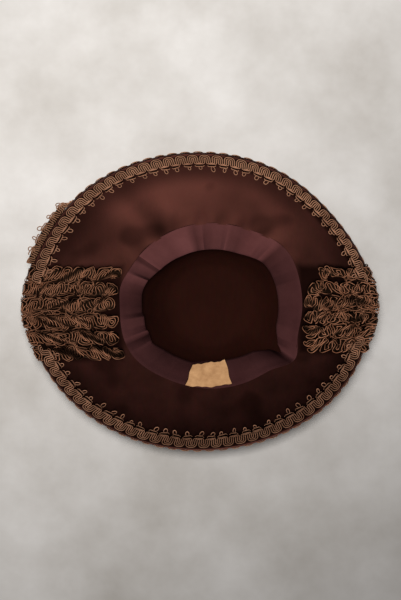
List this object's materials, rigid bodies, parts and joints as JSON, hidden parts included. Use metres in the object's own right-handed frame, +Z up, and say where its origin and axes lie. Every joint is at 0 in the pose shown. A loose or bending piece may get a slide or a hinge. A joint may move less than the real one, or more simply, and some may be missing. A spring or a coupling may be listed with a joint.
{
  "type": "saucer hat",
  "caption": "Oval saucer hat in brown satin, lying crown down, with a lined shallow crown, a grosgrain head ribbon and gimp braid round the rim and in side panels.",
  "frame": {"origin": "middle of the hat's outline in plan, on the surface on which the tip of the crown rests", "axes": "+X to the hat's right-hand side panel as seen looking down into the upturned hat, the long way of the oval; +Y to the hat's front, opposite the label; +Z up, out of the head opening"},
  "size_m": [0.3574, 0.302, 0.0783],
  "materials": {
    "satin": "satin",
    "facing": "satin",
    "lining": "satin",
    "ribbon": "ribbed, matte",
    "gimp": "corded, matte",
    "label": "matte"
  },
  "bodies": {
    "root": {"crown": "satin", "crown_lining": "lining", "brim": "satin", "brim_facing": "facing", "head_ribbon": "ribbon", "label": "label", "under_braid_front": "gimp", "under_braid_back": "gimp", "outer_braid_front": "gimp", "outer_braid_back": "gimp", "left_row_1": "gimp", "left_row_2": "gimp", "left_row_3": "gimp", "left_row_4": "gimp", "left_row_5": "gimp", "left_row_6": "gimp", "right_row_1": "gimp", "right_row_2": "gimp", "right_row_3": "gimp", "right_row_4": "gimp", "right_row_5": "gimp", "right_row_6": "gimp"}
  },
  "joints": []
}
